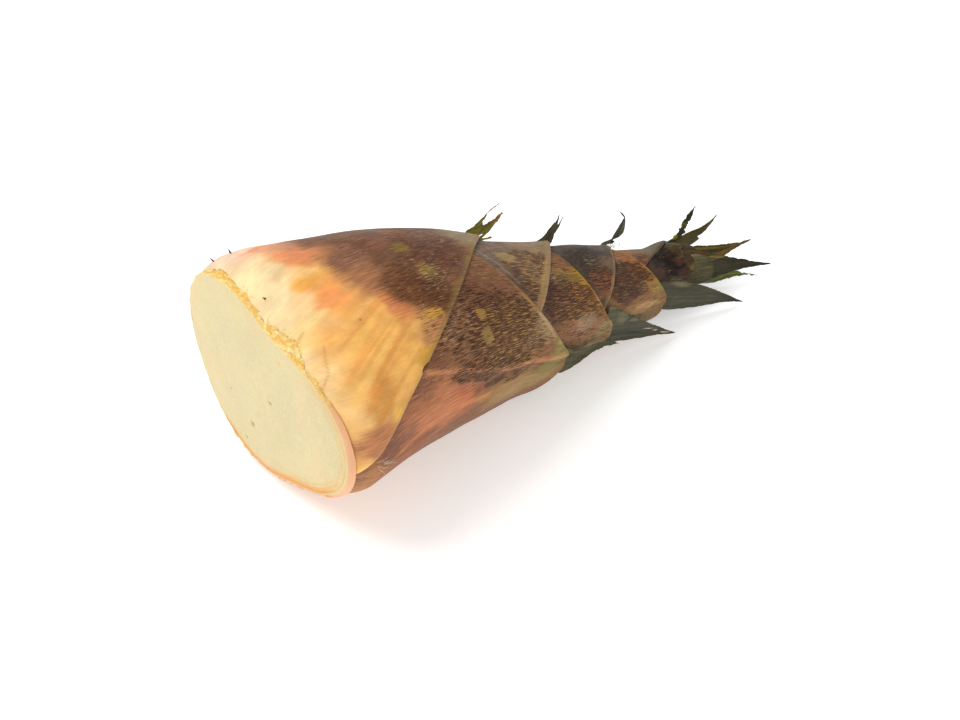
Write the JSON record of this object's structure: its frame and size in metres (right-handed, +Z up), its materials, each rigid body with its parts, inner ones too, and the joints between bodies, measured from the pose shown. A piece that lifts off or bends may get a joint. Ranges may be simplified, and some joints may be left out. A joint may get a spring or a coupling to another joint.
{
  "type": "bamboo shoot",
  "caption": "Cut bamboo shoot lying on its side: pale fleshy culm wrapped in overlapping leaves that end in short pointed blades.",
  "frame": {"origin": "centre of the bounding box's bottom face, on the surface the shoot rests on", "axes": "+X along the shoot from the cut base to the tip, +Z up"},
  "size_m": [0.2422, 0.111, 0.0834],
  "materials": {
    "flesh": "moist, smooth cut, cream",
    "outer_sheath": "satin, ribbed along the veins, cream to orange to brown",
    "sheath": "matte, finely streaked dark brown on tan",
    "green_tip": "satin, dark grey-green, finely veined"
  },
  "bodies": {
    "root": {"culm": "flesh", "leaf_01": "outer_sheath", "leaf_02": "sheath", "leaf_03": "sheath", "leaf_04": "sheath", "leaf_05": "sheath", "leaf_06": "sheath", "leaf_07": "sheath", "leaf_08": "green_tip", "leaf_09": "green_tip", "leaf_10": "green_tip", "leaf_11": "green_tip"}
  },
  "joints": []
}
